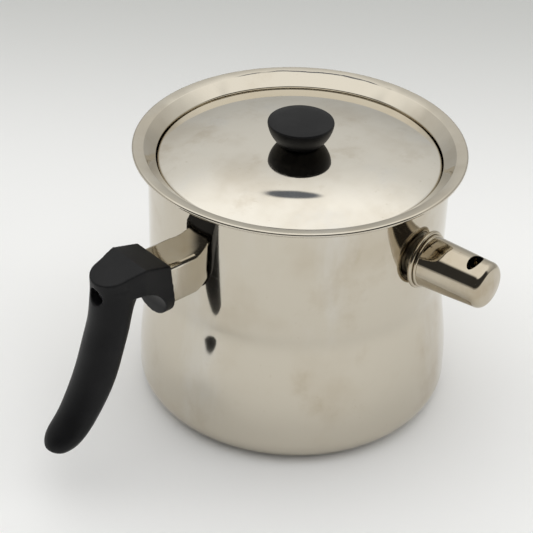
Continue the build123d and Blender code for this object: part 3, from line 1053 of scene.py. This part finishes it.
# ------------------------------------------------------------------ studio
@dataclass
class Studio:
    """Pale paper, soft light and the camera.

    The surroundings are a tent: walls that brighten upwards, a bright ceiling with one narrow
    gap, and a dark room beyond the open front, where the camera stands.
    """

    lens_mm: float = 108.07
    distance: float = 767.33 * MM
    height: float = 592.24 * MM
    heading: float = math.radians(-53.5)
    yaw: float = math.radians(-1.231)
    pitch: float = math.radians(34.113)
    roll: float = math.radians(1.726)
    clip: float = 50.0
    floor_size: float = 12.0
    paper: Colour = (0.90, 0.90, 0.893)
    fibre: Colour = (0.86, 0.86, 0.855)
    # painted shade: the paper's darker colour far behind the pot, and the distances over which it
    # fades in
    paper_painted_shade: Colour = (0.54, 0.545, 0.528)
    painted_shade_from: float = 0.10
    painted_shade_to: float = 0.62
    wall_foot: Colour = (0.53, 0.53, 0.515)
    wall_top: Colour = (0.80, 0.80, 0.785)
    wall_rise: tuple[float, float] = (math.radians(8), math.radians(36))
    ceiling: Colour = (1.28, 1.28, 1.2672)
    ceiling_rise: tuple[float, float] = (math.radians(33), math.radians(52))
    gap: Colour = (0.16, 0.18, 0.22)
    gap_side: float = math.radians(37.7)
    gap_rise: float = math.radians(46.3)
    gap_size: tuple[float, float] = (0.072, 0.022)
    room: Colour = (0.05, 0.05, 0.05)
    room_side: tuple[float, float] = (math.radians(92), math.radians(76))
    room_foot: tuple[float, float] = (0.02, 0.12)
    room_top: tuple[float, float] = (0.72, 0.84)
    aim: Point3 = (0.0, 0.0, 80 * MM)

    def camera(self) -> None:
        """Places the camera."""
        back = self.heading
        spot = Vector((self.distance * math.sin(back), -self.distance * math.cos(back), self.height))
        turn = Matrix.Rotation(back, 3, "Z")
        cy, sy = math.cos(self.yaw), math.sin(self.yaw)
        cp, sp = math.cos(self.pitch), math.sin(self.pitch)
        ahead = turn @ Vector((sy * cp, cy * cp, -sp))
        right = turn @ Vector((cy, -sy, 0))
        up = right.cross(ahead)
        c, s = math.cos(self.roll), math.sin(self.roll)
        right, up = right * c + up * s, up * c - right * s
        data = bpy.data.cameras.new("camera")
        data.lens, data.sensor_width = self.lens_mm, 36.0
        data.clip_start, data.clip_end = 0.01, self.clip
        camera = bpy.data.objects.new("camera", data)
        turned = Matrix((right, up, -ahead)).transposed().to_4x4()
        camera.matrix_world = Matrix.Translation(spot) @ turned
        bpy.context.scene.collection.objects.link(camera)
        bpy.context.scene.camera = camera

    def floor(self) -> None:
        """Lays the paper, with painted shade that darkens it far behind the pot, where less light
        falls.
        """
        bm = bmesh.new()
        half = self.floor_size / 2
        corners = [(-half, -half, 0), (half, -half, 0), (half, half, 0), (-half, half, 0)]
        bm.faces.new([bm.verts.new(c) for c in corners])
        mesh = bpy.data.meshes.new("paper")
        bm.to_mesh(mesh)
        bm.free()
        s = Shader("paper")
        x, y, _ = s.parts(s.place())
        ahead = Vector((-math.sin(self.heading), math.cos(self.heading)))
        depth = x * ahead.x + y * ahead.y
        # painted shade: the paper darkens with distance behind the pot, standing in for the light
        # falling off
        far = depth.above(self.painted_shade_from, self.painted_shade_to)
        grain = s.noise(s.place(), 220.0, 3.0)
        near = s.blend(grain * 0.05, rgba(self.paper), rgba(self.fibre))
        shade = s.blend(far, near, rgba(self.paper_painted_shade))
        paper = add_piece("paper", mesh, s.finish(Base_Color=shade, Roughness=0.85))

    def sky(self) -> None:
        """Surrounds the set with the tent, its gap and the room beyond its open front."""
        world = bpy.data.worlds.new("tent")
        world.use_nodes = True
        bpy.context.scene.world = world
        g = Graph(world.node_tree)
        x, y, z = g.parts(g.node("ShaderNodeTexCoord", output="Generated"))
        level = (x * x + y * y + 0.0001) ** 0.5
        front = (x * math.sin(self.heading) - y * math.cos(self.heading)) / level
        ceiling = z.above(*map(math.sin, self.ceiling_rise))
        wall = z.above(*map(math.sin, self.wall_rise))
        pale = g.blend(wall, rgba(self.wall_foot), rgba(self.wall_top))
        tent = g.blend(ceiling, pale, rgba(self.ceiling))
        aside = y * math.cos(self.gap_side) - x * math.sin(self.gap_side)
        rise = z - math.sin(self.gap_rise)
        gap = aside * aside / self.gap_size[0] ** 2 + rise * rise / self.gap_size[1] ** 2
        gap = (1 - gap.above(0.5, 1.2)) * x.above(0.1, 0.3)
        tent = g.blend(gap, tent, rgba(self.gap))
        opening = front.above(*map(math.cos, self.room_side))
        opening = opening * z.above(*self.room_foot) * (1 - z.above(*self.room_top))
        shade = g.blend(opening, tent, rgba(self.room))
        ground = world.node_tree.nodes["Background"]
        g.tree.links.new(shade.socket, ground.inputs["Color"])
        ground.inputs["Strength"].default_value = 1.0

    def lamp(self, name: str, spot: Vector, size: float, power: float) -> None:
        """Hangs a soft square lamp that faces the pot.

        Args:
            name: the lamp's name.
            spot: where it hangs.
            size: its width.
            power: its power in watts.
        """
        data = bpy.data.lights.new(name, "AREA")
        data.size, data.energy, data.shape = size, power, "SQUARE"
        light = bpy.data.objects.new(name, data)
        light.visible_glossy = False
        aim = (Vector(self.aim) - spot).to_track_quat("-Z", "Y")
        light.matrix_world = Matrix.Translation(spot) @ aim.to_matrix().to_4x4()
        bpy.context.scene.collection.objects.link(light)

    def build(self) -> None:
        """Sets everything up."""
        bpy.context.scene.view_settings.view_transform = "Standard"
        self.camera()
        self.floor()
        self.sky()
        self.lamp("overhead", Vector((0.0, 0.1, 1.7)), 2.0, 2.6)
        self.lamp("left", Vector((-1.3, 0.9, 0.8)), 1.2, 3.5)
        self.lamp("right", Vector((0.5, -1.5, 0.8)), 1.2, 5.0)
        self.lamp("front", Vector((-1.2, -1.0, 1.0)), 1.2, 4.0)


def main() -> None:
    """Builds the finishes, then each sub-assembly in turn, then the studio."""
    jacket_steel = PolishedSteel("steel_wall", stain=0.6, ripple=3.0).material()
    brim_steel = PolishedSteel("steel_brim", smooth=0.04, smudged=0.10, ripple=22.0).material()
    # painted light: the lid is the wall's polished steel with a lighter base colour, so that it looks
    # brighter under the same light
    lid_steel_painted_lighter = PolishedSteel(
        "steel_lid", clean=(0.71, 0.67, 0.59), smudged=0.12, stain=0.6, ripple=2.0
    ).material()
    cap_steel = PolishedSteel(
        "steel_cap", Lay.ROUND_STUB, clean=(0.52, 0.465, 0.37), tint=(0.36, 0.28, 0.18),
        smudged=0.10, stain=0.7, ripple=6.0, axis_height=116.4 * MM
    ).material()
    bracket_steel = PolishedSteel("steel_bracket", Lay.ALONG, smooth=0.06).material()
    satin = PlainMetal("steel_satin", (0.60, 0.585, 0.55), (0.50, 0.48, 0.44), 0.28).material()
    cast = PlainMetal("aluminium_cast", (0.72, 0.72, 0.73), (0.6, 0.6, 0.61), 0.45).material()
    brass = PlainMetal("brass_turned", (0.68, 0.5, 0.22), (0.5, 0.36, 0.16), 0.3).material()
    zinc = PlainMetal("zinc_plate", (0.58, 0.59, 0.61), (0.45, 0.46, 0.47), 0.32).material()
    phenolic = Phenolic("phenolic").material()

    OuterJacket().build(jacket_steel, cast, satin)
    InnerPot().build(brim_steel)
    Lid().build(lid_steel_painted_lighter, phenolic, brass, zinc)
    WhistleCap().build(cap_steel, satin)
    Handle().build(phenolic, bracket_steel, satin, zinc)
    Studio().build()
    bpy.context.view_layer.update()


if __name__ == "__main__":
    main()
